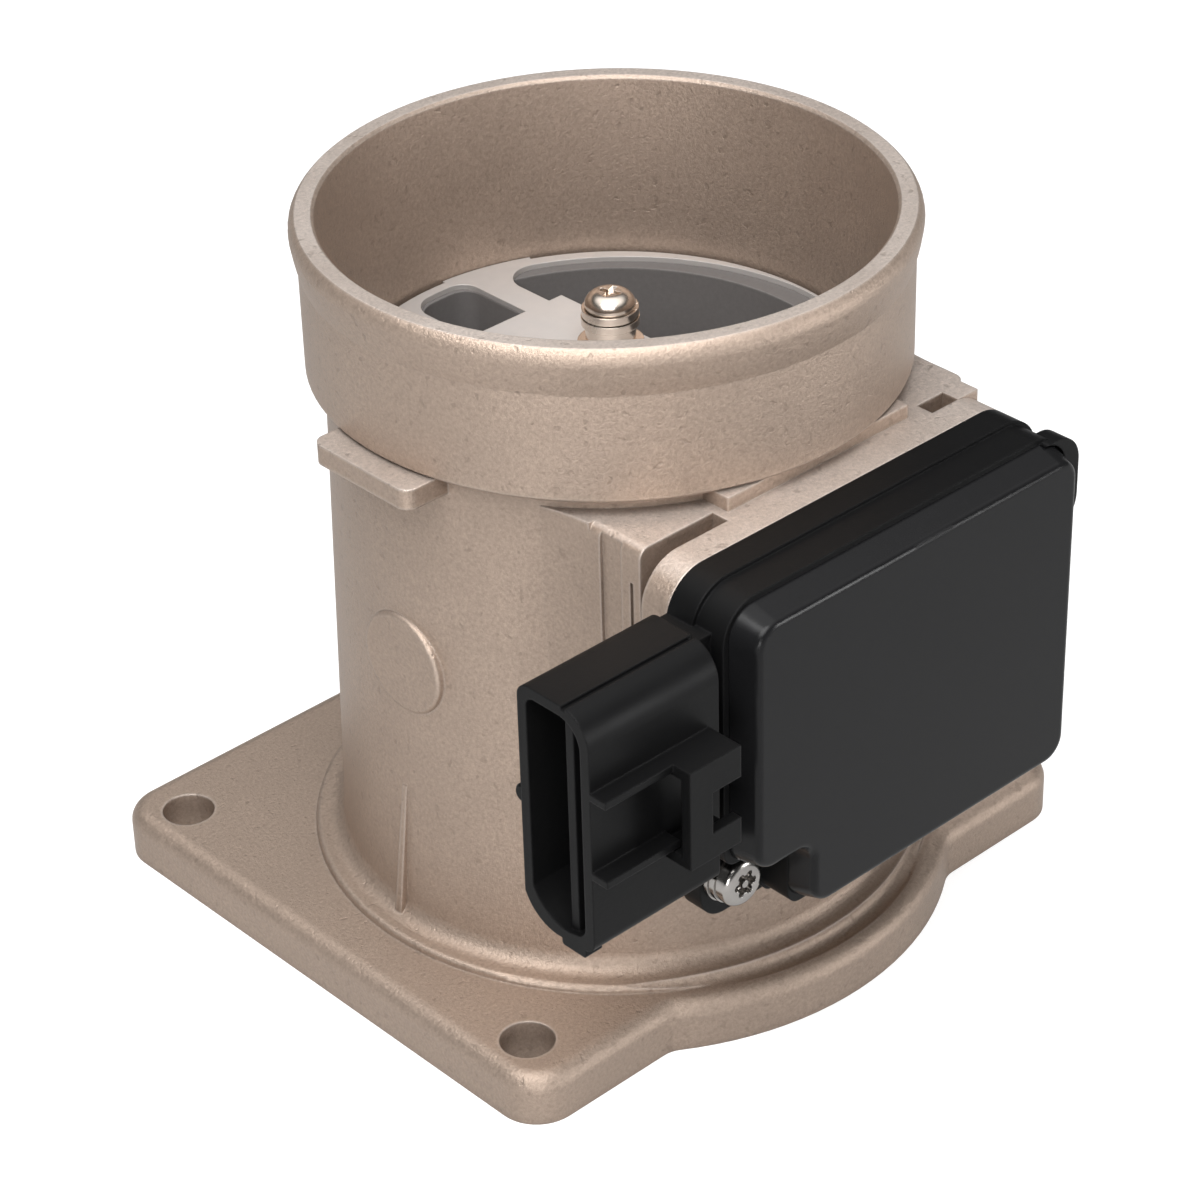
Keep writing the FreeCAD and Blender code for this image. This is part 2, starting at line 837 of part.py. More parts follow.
def six_lobe_recess(height):
    # Six lobes round a plain core, with a centre post left standing.
    low = height - recess_depth
    core = upright(0.72 * corner_recess_r, low, height + 1)
    reach = 0.74 * corner_recess_r
    lobes = []
    for i in range(6):
        turn = math.radians(60 * i)
        lobes.append(upright(0.26 * corner_recess_r, low, height + 1, reach * math.cos(turn),
                             reach * math.sin(turn)))
    return core.fuse(lobes).cut(upright(0.28 * corner_recess_r, low, height))


def plain_ring(outer, inner, thick):
    return Part.makeCylinder(outer, thick).cut(Part.makeCylinder(inner, thick))


def split_ring(outer, inner, wire, free):
    # A split ring of square wire whose two ends stand apart in height.
    rise = free - wire
    turn = (360.0 - spring_gap_turn) / spring_steps
    pieces = []
    for i in range(spring_steps):
        low = rise * i / (spring_steps - 1)
        piece = revolve_profile([(inner, low), (outer, low), (outer, low + wire), (inner, low + wire)],
                                turn, spring_gap_turn / 2 + i * turn)
        pieces.append(piece)
    return pieces[0].fuse(pieces[1:]).removeSplitter()


def along_minus_y(shape, x, y, z):
    # Turns a piece made along +Z so that it faces -Y at the given place.
    shape = shape.copy()
    shape.rotate(ORIGIN, X_AXIS, 90)
    shape.translate(V(x, y, z))
    return shape


def moved(shape, x, y, z):
    shape = shape.copy()
    shape.translate(V(x, y, z))
    return shape


# Housing with connector socket
def socket_wire(x, inset):
    back = socket_back - inset
    front = socket_front + inset
    top = socket_top - inset
    low = socket_bottom + inset
    rb = socket_back_round - inset * 0.4
    rf = socket_front_round - inset * 0.6
    k = 1 - math.sqrt(0.5)
    toe_y = front + socket_toe_depth
    toe_z = low + socket_toe_height
    heel_y = back - socket_heel_depth
    heel_z = low + socket_heel_height
    rise = socket_toe_rise
    p = lambda y, z: V(x, y, z)
    edges = [
        Part.LineSegment(p(back, heel_z), p(back, top - rb)).toShape(),
        Part.Arc(p(back, top - rb), p(back - k * rb, top - k * rb), p(back - rb, top)).toShape(),
        Part.LineSegment(p(back - rb, top), p(front + rf, top)).toShape(),
        Part.Arc(p(front + rf, top), p(front + k * rf, top - k * rf), p(front, top - rf)).toShape(),
        Part.LineSegment(p(front, top - rf), p(front, toe_z)).toShape(),
        Part.Arc(p(front, toe_z), p(front + 0.3 * socket_toe_depth, low + 0.4 * socket_toe_height),
                 p(toe_y, low + rise)).toShape(),
        Part.LineSegment(p(toe_y, low + rise), p(heel_y, low)).toShape(),
        Part.Arc(p(heel_y, low), p(back - 0.42 * socket_heel_depth, low + 0.21 * socket_heel_height),
                 p(back, heel_z)).toShape(),
    ]
    return Part.Wire(edges)


def make_socket():
    outer = Part.Face(socket_wire(socket_mouth, 0)).extrude(V(socket_end - socket_mouth, 0, 0))
    neck = box(socket_end - 1, body_left + 1, socket_back, socket_back - neck_depth,
               socket_bottom + neck_inset_low, socket_top - neck_inset_high)
    hollow = Part.Face(socket_wire(socket_mouth - 1, socket_wall))
    hollow = hollow.extrude(V(socket_floor - socket_mouth + 1, 0, 0))
    partition_back = socket_back - partition_set
    partition = box(socket_mouth + partition_set_back, socket_floor + 1, partition_back,
                    partition_back - partition_thick, socket_bottom + 1, socket_top - 1)
    groove_y = socket_back - groove_set
    groove = box(socket_mouth - 1, socket_end + 1, groove_y, groove_y - groove_width,
                 socket_top - groove_depth, socket_top + 1)
    shell = outer.cut(hollow).fuse([neck, partition.common(outer)]).cut(groove)
    nub_left = socket_mouth + nub_set_back
    nub_top = socket_top - nub_below_top
    nub = box(nub_left, nub_left + nub_length, socket_back + nub_proud, socket_back - 1,
              nub_top - nub_height, nub_top)
    foot_back = socket_back - foot_set
    foot = box(socket_mouth, socket_mouth + foot_length, foot_back, foot_back - foot_width,
               socket_bottom - foot_drop, socket_bottom + socket_wall)
    foot = foot.makeFillet(foot_edge, edges_where(foot, lambda b: b.ZMax < socket_bottom
                                                  and b.YLength < 0.01))
    return shell.fuse([nub, foot])


def make_latch():
    behind = socket_front + 0.5
    rails = []
    for z in (rail_top_z, rail_low_z):
        rails.append(box(socket_mouth, bridge_left + 1, behind, socket_front - rail_proud,
                         z - rail_thick, z))
    bridge = box(bridge_left, bridge_right, behind, bridge_front, bridge_low, rail_top_z)
    tunnel = box(bridge_left - 1, bridge_right + 1, socket_front, bridge_front + bridge_wall,
                 bridge_low + bridge_wall, rail_top_z - bridge_wall)
    window = box(bridge_left + bridge_post, bridge_right + 1, socket_front, bridge_front - 1,
                 bridge_low + bridge_arm_low, rail_top_z - bridge_arm_high)
    return rails + [bridge.cut(tunnel).cut(window)]


def notched_outline(x0, x1, z0, z1, r, notch_shift, outer_round, y):
    # An outline whose lower left corner is cut out for the screw.
    side = notch_right + notch_shift
    top = notch_top + notch_shift
    corners = [
        (x1, z0, r),
        (x1, z1, r),
        (x0, z1, r),
        (x0, top, outer_round),
        (side, top, notch_round),
        (side, z0, outer_round),
    ]
    return rounded_outline(corners, lambda a, b: V(a, y, b))


def make_housing():
    lug_base = along_y(body_outline(socket_back), socket_back, lug_front)
    base = along_y(notched_outline(body_left, body_right, body_low, body_high, body_corner, 0,
                                   notch_outer_round, lug_front), lug_front, base_front)
    walls = along_y(notched_outline(body_left + step, body_right - step, body_low + step,
                                    body_high - step, body_corner - step, 0, notch_outer_round,
                                    base_front), base_front, joint_y)
    ear_right = body_right + ear_beyond
    ear_front = joint_y - ear_overlap
    ear = rounded_block(ear_right - ear_width, ear_right, cover_high - ear_height, cover_high,
                        ear_corner, pad_front - ear_back_depth, ear_front)
    ear = ear.cut(rounded_block(cover_left, cover_right, cover_low, cover_high, cover_corner,
                                joint_y, ear_front - 1))
    inset = step + housing_wall
    hollow = notched_outline(body_left + inset, body_right - inset, body_low + inset, body_high - inset,
                             body_corner - inset + 1, housing_wall, notch_outer_round, floor_y)
    housing = lug_base.fuse([base, walls, ear]).cut(along_y(hollow, floor_y, joint_y - 1))
    housing = housing.fuse([make_socket()] + make_latch())
    hole_r = shank_r + shank_clear
    tools = [cylinder(hole_r, V(x, socket_back + 1, z), V(x, joint_y, z)) for x, z in screw_places()]
    for z in blade_heights():
        tools.append(box(socket_floor - 1, board_left, board_y, board_y - blade_thick,
                         z - blade_height / 2, z + blade_height / 2))
    for x, z in pin_places():
        tools.append(cylinder(pin_r, V(x, socket_back + 1, z), V(x, floor_y - 1, z)))
    for tool in tools:
        housing = housing.cut(tool)
    return housing


def blade_heights():
    return [socket_bottom + blade_first_rise + i * blade_pitch for i in range(blade_count)]


def pin_places():
    places = []
    for sx in (-1, 1):
        for sz in (-1, 1):
            places.append((holder_x + sx * pin_half_x, holder_z + sz * pin_half_z))
    return places


# Cover
def cover_solid(inset, back, front):
    rear = notched_outline(cover_left + inset, cover_right - inset, cover_low + inset,
                           cover_high - inset, cover_corner - inset * 0.6, inset,
                           cover_notch_round - inset * 0.6, back)
    fore = notched_outline(cover_left + draft_left + inset, cover_right - draft_right - inset,
                           cover_low + draft_low + inset, cover_high - draft_high - inset,
                           face_corner - inset * 0.6, draft_notch + inset,
                           cover_notch_round - inset * 0.6, front)
    return Part.makeLoft([rear, fore], True, True)


def make_module_cover():
    outer = cover_solid(0, joint_y, face_y)
    front = edges_where(outer, lambda b: b.YMax < face_y + 0.01)
    outer = outer.makeFillet(cover_edge_round, front)
    cover = outer.cut(cover_solid(cover_wall, joint_y, face_y + cover_wall))
    tab_top = cover_high - draft_high - gate_tab_sink
    half = gate_tab_long / 2
    tab = box(gate_tab_x - half, gate_tab_x + half, face_y + gate_tab_sink,
              face_y + gate_tab_sink + gate_tab_deep, tab_top - gate_tab_high, tab_top)
    return cover.fuse(tab)


# Heat plate, board and the parts soldered on it
def make_board_parts():
    plate = rounded_block(board_left - plate_margin, board_right + plate_margin, board_low - plate_margin,
                          board_high + plate_margin, plate_corner, floor_y, heat_plate_y)
    board = box(board_left, board_right, heat_plate_y, board_y, board_low, board_high)
    for x, z in pin_places():
        hole = cylinder(pin_r, V(x, floor_y + 1, z), V(x, board_y - 1, z))
        plate = plate.cut(hole)
        board = board.cut(hole)
    chip_x = board_right - chip_inset - chip_size
    chip_z = board_high - chip_inset - chip_size
    chip = box(chip_x, chip_x + chip_size, board_y, board_y - chip_tall, chip_z, chip_z + chip_size)
    chip = chip.makeChamfer(chip_edge, edges_where(chip, lambda b: b.YMax < board_y - chip_tall + 0.1))
    legs = []
    first_leg = chip_z + (chip_size - (leg_count - 1) * leg_pitch - leg_width) / 2
    for i in range(leg_count):
        z = first_leg + i * leg_pitch
        legs.append(box(chip_x - leg_reach, chip_x + 0.1, board_y, board_y - leg_thick, z, z + leg_width))
        legs.append(box(chip_x + chip_size - 0.1, chip_x + chip_size + leg_reach, board_y,
                        board_y - leg_thick, z, z + leg_width))
    chip = chip.fuse(legs)
    left = chip_x - leg_reach - transistor_gap - transistor_width
    low = board_low + transistor_inset_low
    top = low + transistor_height
    transistor = box(left, left + transistor_width, board_y, board_y - transistor_tall, low, top)
    tab = box(left + transistor_tab_inset, left + transistor_width - transistor_tab_inset, board_y,
              board_y - transistor_tab_thick, top, top + transistor_tab_height)
    transistor = transistor.fuse(tab)
    capacitors = []
    for i in range(capacitor_count):
        x = board_left + capacitor_inset
        z = board_low + (i + 0.5) * capacitor_pitch
        capacitors.append(box(x, x + capacitor_long, board_y, board_y - capacitor_tall, z,
                              z + capacitor_wide))
    return plate, board, chip, transistor, capacitors


def make_holder():
    tip = passage_y - passage_r + holder_tip_reach
    flange = cylinder(holder_flange_r, V(holder_x, pad_front, holder_z),
                      V(holder_x, holder_flange_end, holder_z))
    stem = cylinder(holder_r, V(holder_x, pad_front, holder_z), V(holder_x, tip, holder_z))
    stem = stem.makeChamfer(0.3, edges_where(stem, lambda b: b.YMin > tip - 0.01))
    holder = flange.fuse(stem)
    for x, z in pin_places():
        holder = holder.cut(cylinder(pin_r, V(x, pad_front - 1, z), V(x, tip + 1, z)))
    return holder, tip


# Save every node
save("body_casting", make_casting())
save("bypass_insert", make_insert())
save("bypass_cover_plate", make_cover_plate())

hub_bore_r = shank_r + shank_clear
collar = plain_ring(hub_flange_r, hub_bore_r, hub_flange_thick)
collar = collar.fuse(plain_ring(hub_r, hub_bore_r, hub_height))
save("screw_collar", moved(collar, hub_x, hub_y, plate_top))
save("plain_washer", moved(plain_ring(washer_r, hub_bore_r, washer_thick), hub_x, hub_y, hub_top))
spring_seat = hub_top + washer_thick
spring = split_ring(spring_r, hub_bore_r, spring_wire, spring_free)
save("spring_washer", moved(spring, hub_x, hub_y, spring_seat))
head_seat = spring_seat + spring_free
plate_screw = make_pan_screw(head_r, head_height, head_side, head_flat_r,
                             head_seat - insert_top + thread_depth)
plate_screw = plate_screw.cut(cross_recess(head_height))
save("cover_plate_screw", moved(plate_screw, hub_x, hub_y, head_seat))
save("flange_seal", Part.makeTorus(seal_ring_r, seal_cord_r, V(0, 0, seal_cord_r)))

save("module_housing", make_housing())
save("module_cover", make_module_cover())
save("module_gasket", make_gasket())
plate, board, chip, transistor, capacitors = make_board_parts()
save("heat_plate", plate)
save("circuit_board", board)
save("control_chip", chip)
save("output_transistor", transistor)
save_group("board_capacitors", capacitors)

blades = []
blade_tip = socket_mouth + blade_set_back
for z in blade_heights():
    blade = box(blade_tip, board_left + blade_on_board, board_y, board_y - blade_thick,
                z - blade_height / 2, z + blade_height / 2)
    tip_edges = edges_where(blade, lambda b: b.XMax < blade_tip + 0.01 and b.ZLength > 1)
    blades.append(blade.makeChamfer(blade_tip_edge, tip_edges))
save_group("terminals", blades)

holder, tip = make_holder()
save("sensor_holder", holder)
pins = [cylinder(pin_r, V(x, board_y, z), V(x, tip + pin_reach + 0.6, z)) for x, z in pin_places()]
save_group("sensor_pins", pins)
for name, z in (("hot_element", holder_z + pin_half_z), ("cold_element", holder_z - pin_half_z)):
    span = pin_half_x - pin_r
    y = tip + pin_reach
    save(name, cylinder(element_r, V(holder_x - span, y, z), V(holder_x + span, y, z)))
ring_y = holder_flange_end + holder_seal_cord / 2
seal = Part.makeTorus(holder_r + holder_seal_cord / 2, holder_seal_cord / 2, V(0, 0, 0), Y_AXIS)
save("holder_seal", moved(seal, holder_x, ring_y, holder_z))

corner_washer = plain_ring(corner_washer_r, hub_bore_r, corner_washer_thick)
save("corner_plain_washer", along_minus_y(corner_washer, screw_x, lug_front, screw_z))
corner_spring = plain_ring(corner_spring_r, hub_bore_r, corner_spring_thick)
corner_spring = corner_spring.cut(box(-corner_spring_gap / 2, corner_spring_gap / 2, 0,
                                      corner_spring_r + 1, -1, corner_spring_thick + 1))
corner_spring.rotate(ORIGIN, Z_AXIS, 60)
spring_y = lug_front - corner_washer_thick
save("corner_spring_washer", along_minus_y(corner_spring, screw_x, spring_y, screw_z))
head_y = spring_y - corner_spring_thick
shank_end_y = pad_front + corner_shank_length
corner_screw = make_pan_screw(corner_head_r, corner_head_height, corner_head_side, corner_head_flat_r,
                              shank_end_y - head_y)
corner_screw = corner_screw.cut(six_lobe_recess(corner_head_height))
save("corner_screw", along_minus_y(corner_screw, screw_x, head_y, screw_z))
inner_screws = []
for z in inner_screw_heights():
    screw = make_pan_screw(corner_head_r, corner_head_height, corner_head_side, corner_head_flat_r,
                           shank_end_y - floor_y)
    screw = screw.cut(cross_recess(corner_head_height))
    inner_screws.append(along_minus_y(screw, inner_screw_x, floor_y, z))
save_group("inner_screws", inner_screws)
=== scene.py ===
"""Looks of a mass airflow sensor: materials for each piece, a studio and a camera."""

import math

import bpy
from bpy.props import FloatProperty, FloatVectorProperty, PointerProperty
from mathutils import Matrix, Vector


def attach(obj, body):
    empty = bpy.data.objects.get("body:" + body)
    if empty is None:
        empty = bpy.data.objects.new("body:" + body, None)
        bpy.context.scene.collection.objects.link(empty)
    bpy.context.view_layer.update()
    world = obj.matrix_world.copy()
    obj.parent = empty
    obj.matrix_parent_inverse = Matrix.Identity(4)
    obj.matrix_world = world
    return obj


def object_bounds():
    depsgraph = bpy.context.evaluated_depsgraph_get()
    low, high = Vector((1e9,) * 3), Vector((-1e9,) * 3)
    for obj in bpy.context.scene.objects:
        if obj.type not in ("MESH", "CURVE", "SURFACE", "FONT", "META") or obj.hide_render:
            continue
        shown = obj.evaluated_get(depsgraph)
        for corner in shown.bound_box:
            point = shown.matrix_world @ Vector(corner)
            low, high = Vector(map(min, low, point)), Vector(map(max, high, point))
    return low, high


bl_info = {
    "name": "Mass airflow sensor",
    "version": (1, 0, 0),
    "blender": (4, 5, 0),
    "location": "3D View > Sidebar > Airflow",
    "description": "Dresses the packed airflow sensor and sets its studio",
    "category": "Object",
}

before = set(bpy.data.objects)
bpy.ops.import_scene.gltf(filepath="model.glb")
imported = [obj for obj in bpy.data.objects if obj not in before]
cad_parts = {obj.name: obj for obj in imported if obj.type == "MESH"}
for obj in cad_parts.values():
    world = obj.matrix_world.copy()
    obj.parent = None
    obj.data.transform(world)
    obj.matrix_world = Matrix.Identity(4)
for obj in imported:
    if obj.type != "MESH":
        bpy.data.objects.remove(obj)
CAD_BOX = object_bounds()

MM = 0.001
WHITE = (1.0, 1.0, 1.0, 1.0)

# Sockets of the colour Mix node
MIX_FACTOR, MIX_A, MIX_B, MIX_RESULT = 0, 6, 7, 2
EDGE_SAMPLES = 4
# Rays and reach of the mask for the casting's painted corner shade
CREVICE_SAMPLES = 6
CREVICE_REACH = 2.5 * MM
SMOOTH_BELOW = math.radians(32)

NUB_STEPS = 12
NUB_SUNK = 0.25
NUB_SMOOTH_BELOW = math.radians(40)
NUB_SECTIONS = (
    # share of the length, share of the radius
    (0.0, 0.8),
    (0.15, 1.0),
    (0.6, 1.0),
    (1.0, 0.35),
)

SENSOR_WIDTH = 36.0
CLIP_START = 0.01
FLOOR_REACH = 4.0
FLOOR_COLOR = (0.42, 0.42, 0.42)
FLOOR_GLOW = 0.75
FLOOR_GLOW_IN_REFLECTIONS = 0.33
ZENITH_FROM, ZENITH_TO = 0.6, 0.95
LAMP_AIM = (0.0, 0.0, 0.05)
LAMPS = (
    # name, place, width and height
    ("top", (-0.16, -0.12, 0.34), (0.28, 0.22)),
    ("left", (-0.56, -0.56, 0.08), (0.16, 0.4)),
    ("right", (0.46, -0.72, 0.10), (0.16, 0.4)),
)


# Node helpers

FLOAT = "NodeSocketFloat"


def add(tree, kind, **values):
    node = tree.nodes.new(kind)
    for key, value in values.items():
        setattr(node, key, value)
    return node


def fill(node, **values):
    for key, value in values.items():
        node.inputs[key.replace("_", " ")].default_value = value
    return node


def link(tree, source, target):
    tree.links.new(source, target)


def new_group(name, inputs, outputs):
    tree = bpy.data.node_groups.new(name, "ShaderNodeTree")
    for label, kind, default in inputs:
        socket = tree.interface.new_socket(name=label, in_out="INPUT", socket_type=kind)
        socket.default_value = default
    for label, kind in outputs:
        tree.interface.new_socket(name=label, in_out="OUTPUT", socket_type=kind)
    start = tree.nodes.new("NodeGroupInput")
    end = tree.nodes.new("NodeGroupOutput")
    return tree, start, end


def noise(tree, place, scale, detail, rough=0.55):
    node = fill(add(tree, "ShaderNodeTexNoise"), Detail=detail, Roughness=rough)
    if isinstance(scale, (int, float)):
        node.inputs["Scale"].default_value = scale
    else:
        link(tree, scale, node.inputs["Scale"])
    link(tree, place, node.inputs["Vector"])
    return node.outputs["Fac"]


def math_node(tree, operation, a, b, clamp=False):
    node = add(tree, "ShaderNodeMath", operation=operation, use_clamp=clamp)
    for slot, value in zip(node.inputs, (a, b)):
        if isinstance(value, (int, float)):
            slot.default_value = value
        else:
            link(tree, value, slot)
    return node.outputs[0]


def grain_group():
    """Sand-fine grain, broad clouds and small pits, as one mask and one height."""
    tree, start, end = new_group(
        "Surface grain",
        [("Fine scale", FLOAT, 1500.0), ("Cloud scale", FLOAT, 60.0), ("Pit scale", FLOAT, 260.0),
         ("Pit amount", FLOAT, 0.3)],
        [("Grain", FLOAT), ("Cloud", FLOAT), ("Pit", FLOAT), ("Height", FLOAT)])
    place = add(tree, "ShaderNodeTexCoord").outputs["Object"]
    fine = noise(tree, place, start.outputs["Fine scale"], 4.0, 0.75)
    cloud = noise(tree, place, start.outputs["Cloud scale"], 4.0, 0.5)
    speck = noise(tree, place, start.outputs["Pit scale"], 2.0, 0.4)
    sharp = add(tree, "ShaderNodeMapRange", interpolation_type="SMOOTHSTEP")
    fill(sharp, From_Min=0.64, From_Max=0.74)
    link(tree, speck, sharp.inputs["Value"])
    pit = math_node(tree, "MULTIPLY", sharp.outputs["Result"], start.outputs["Pit amount"])
    height = math_node(tree, "SUBTRACT", fine, pit)
    link(tree, fine, end.inputs["Grain"])
    link(tree, cloud, end.inputs["Cloud"])
    link(tree, pit, end.inputs["Pit"])
    link(tree, height, end.inputs["Height"])
    return tree


def edge_group():
    """A mask that is one on edges, from the rounded normal against the true one."""
    tree, start, end = new_group(
        "Edge mask", [("Radius", FLOAT, 0.0006), ("Strength", FLOAT, 6.0)], [("Mask", FLOAT)])
    rounded = add(tree, "ShaderNodeBevel", samples=EDGE_SAMPLES)
    link(tree, start.outputs["Radius"], rounded.inputs["Radius"])
    true_normal = add(tree, "ShaderNodeNewGeometry").outputs["Normal"]
    dot = add(tree, "ShaderNodeVectorMath", operation="DOT_PRODUCT")
    link(tree, rounded.outputs["Normal"], dot.inputs[0])
    link(tree, true_normal, dot.inputs[1])
    bend = math_node(tree, "SUBTRACT", 1.0, dot.outputs["Value"])
    mask = math_node(tree, "MULTIPLY", bend, start.outputs["Strength"], True)
    link(tree, mask, end.inputs["Mask"])
    return tree


GROUP_MAKERS = {"Surface grain": grain_group, "Edge mask": edge_group}


def group(tree, name, **values):
    shared = bpy.data.node_groups.get(name) or GROUP_MAKERS[name]()
    node = add(tree, "ShaderNodeGroup", node_tree=shared)
    return fill(node, **values)


def mix_color(tree, factor, a, b):
    node = add(tree, "ShaderNodeMix", data_type="RGBA")
    link(tree, factor, node.inputs[MIX_FACTOR])
    for slot, value in ((node.inputs[MIX_A], a), (node.inputs[MIX_B], b)):
        if hasattr(value, "links"):
            link(tree, value, slot)
        else:
            slot.default_value = (*value[:3], 1.0)
    return node.outputs[MIX_RESULT]


def remap(tree, value, low, high, to_low, to_high):
    node = fill(add(tree, "ShaderNodeMapRange"), From_Min=low, From_Max=high, To_Min=to_low,
                To_Max=to_high)
    link(tree, value, node.inputs["Value"])
    return node.outputs["Result"]


def bump(tree, height, strength, distance, round_radius=None):
    node = fill(add(tree, "ShaderNodeBump"), Strength=strength, Distance=distance)
    link(tree, height, node.inputs["Height"])
    if round_radius:
        rounded = fill(add(tree, "ShaderNodeBevel", samples=EDGE_SAMPLES), Radius=round_radius)
        link(tree, rounded.outputs["Normal"], node.inputs["Normal"])
    return node.outputs["Normal"]


def start_material(name, **shader_values):
    material = bpy.data.materials.new(name)
    material.use_nodes = True
    tree = material.node_tree
    shader = tree.nodes["Principled BSDF"]
    fill(shader, **shader_values)
    return material, tree, shader


def scaled(color, factor):
    return tuple(channel * factor for channel in color[:3])


def paler_toward_grey(color, factor):
    """The colour brightened by factor, halfway to a grey."""
    grey = max(color[:3])
    return tuple((channel + grey) / 2 * factor for channel in color[:3])


# Finishes

def painted_top_light(tree):
    """A mask of painted light: faces that look up and lie high on the casting are painted paler,
    as if lit from above.
    """
    normal = add(tree, "ShaderNodeSeparateXYZ")
    link(tree, add(tree, "ShaderNodeNewGeometry").outputs["Normal"], normal.inputs[0])
    place = add(tree, "ShaderNodeSeparateXYZ")
    link(tree, add(tree, "ShaderNodeTexCoord").outputs["Object"], place.inputs[0])
    up = remap(tree, normal.outputs["Z"], 0.7, 0.95, 0, 1)
    high = remap(tree, place.outputs["Z"], 55 * MM, 75 * MM, 0, 0.75)
    return math_node(tree, "MULTIPLY", up, high, True)


def openness(tree):
    """One on open faces, falling towards zero in slots and inner corners; it masks the casting's
    painted shade.
    """
    shade = add(tree, "ShaderNodeAmbientOcclusion", samples=CREVICE_SAMPLES)
    return fill(shade, Distance=CREVICE_REACH).outputs["AO"]


def cast_metal(name, color, roughness):
    """Shot-blasted die casting: fine grain, clouds, pits, painted top light on upward faces, edges
    paler from wear and a painted highlight, and painted shade in corners.
    """
    material, tree, shader = start_material(name, Metallic=0.65, Specular_IOR_Level=0.3)
    grain = group(tree, "Surface grain", Fine_scale=2000.0, Cloud_scale=70.0, Pit_scale=800.0,
                  Pit_amount=0.35)
    edge = group(tree, "Edge mask", Radius=0.0008, Strength=4.0)
    top_light = painted_top_light(tree)
    # Painted light: upward, high faces are mixed towards a paler colour.
    base = mix_color(tree, remap(tree, grain.outputs["Grain"], 0.32, 0.68, 0, 1),
                     mix_color(tree, top_light, scaled(color, 0.8), paler_toward_grey(color, 1.4)),
                     mix_color(tree, top_light, scaled(color, 1.18), paler_toward_grey(color, 2.0)))
    base = mix_color(tree, remap(tree, grain.outputs["Cloud"], 0.35, 0.65, 0, 0.3),
                     base, scaled(color, 0.8))
    open_share = openness(tree)
    # Edges in open places painted paler: partly wear, partly a painted highlight.
    wear_and_edge_highlight = math_node(tree, "MULTIPLY", edge.outputs["Mask"],
                     remap(tree, open_share, 0.55, 0.85, 0, 0.6))
    base = mix_color(tree, wear_and_edge_highlight, base, paler_toward_grey(color, 1.7))
    base = mix_color(tree, grain.outputs["Pit"], base, scaled(color, 0.55))
    # Painted shade: slots and inner corners are darkened where shade falls.
    base = mix_color(tree, remap(tree, open_share, 0.2, 0.7, 0.6, 0), base, scaled(color, 0.35))
    link(tree, base, shader.inputs["Base Color"])
    rough = remap(tree, grain.outputs["Grain"], 0.3, 0.7, roughness - 0.06, roughness + 0.08)
    link(tree, rough, shader.inputs["Roughness"])
    relief = bump(tree, grain.outputs["Height"], strength=0.6, distance=0.2 * MM,
                  round_radius=0.35 * MM)
    link(tree, relief, shader.inputs["Normal"])
    return material


def bright_metal(name, color, roughness, dullness=0.25, metallic=1.0):
    """Plated or stamped metal with faint duller patches and soft edges."""
    material, tree, shader = start_material(name, Metallic=metallic)
    grain = group(tree, "Surface grain", Fine_scale=900.0, Cloud_scale=220.0, Pit_scale=700.0,
                  Pit_amount=0.2)
    base = mix_color(tree, remap(tree, grain.outputs["Cloud"], 0.35, 0.65, 0, dullness),
                     color, scaled(color, 0.6))
    link(tree, base, shader.inputs["Base Color"])
    rough = remap(tree, grain.outputs["Cloud"], 0.3, 0.7, roughness, roughness + 0.12)
    link(tree, rough, shader.inputs["Roughness"])
    relief = bump(tree, grain.outputs["Height"], strength=0.12, distance=0.05 * MM,
                  round_radius=0.2 * MM)
    link(tree, relief, shader.inputs["Normal"])
    return material


def moulded_plastic(name, color, roughness, grain_size=1400.0, grain_strength=0.25,
                    round_radius=0.35 * MM, reflection=0.17):
    """Moulded plastic: spark-eroded grain and worn lighter edges."""
    material, tree, shader = start_material(name, Metallic=0.0, Specular_IOR_Level=reflection)
    grain = group(tree, "Surface grain", Fine_scale=grain_size, Cloud_scale=70.0, Pit_scale=500.0,
                  Pit_amount=0.15)
    edge = group(tree, "Edge mask", Radius=0.0005, Strength=4.0)
    base = mix_color(tree, remap(tree, grain.outputs["Grain"], 0.3, 0.7, 0, 0.35), color,
                     scaled(color, 1.4))
    base = mix_color(tree, math_node(tree, "MULTIPLY", edge.outputs["Mask"], 0.35), base,
                     scaled(color, 2.6))
    link(tree, base, shader.inputs["Base Color"])
    rough = remap(tree, grain.outputs["Cloud"], 0.3, 0.7, roughness - 0.04, roughness + 0.06)
    link(tree, rough, shader.inputs["Roughness"])
    relief = bump(tree, grain.outputs["Height"], strength=grain_strength, distance=0.06 * MM,
                  round_radius=round_radius)
    link(tree, relief, shader.inputs["Normal"])
    return material


def soft_rubber(name, color):
    """Sealing rubber with a faint bloom."""
    material, tree, shader = start_material(name, Metallic=0.0)
    grain = group(tree, "Surface grain", Fine_scale=1100.0, Cloud_scale=140.0, Pit_scale=400.0,
                  Pit_amount=0.1)
    base = mix_color(tree, remap(tree, grain.outputs["Cloud"], 0.4, 0.7, 0, 0.4), color,
                     scaled(color, 2.0))
    link(tree, base, shader.inputs["Base Color"])
    rough = remap(tree, grain.outputs["Cloud"], 0.3, 0.7, 0.55, 0.75)
    link(tree, rough, shader.inputs["Roughness"])
    relief = bump(tree, grain.outputs["Height"], strength=0.2, distance=0.06 * MM)
    link(tree, relief, shader.inputs["Normal"])
    return material


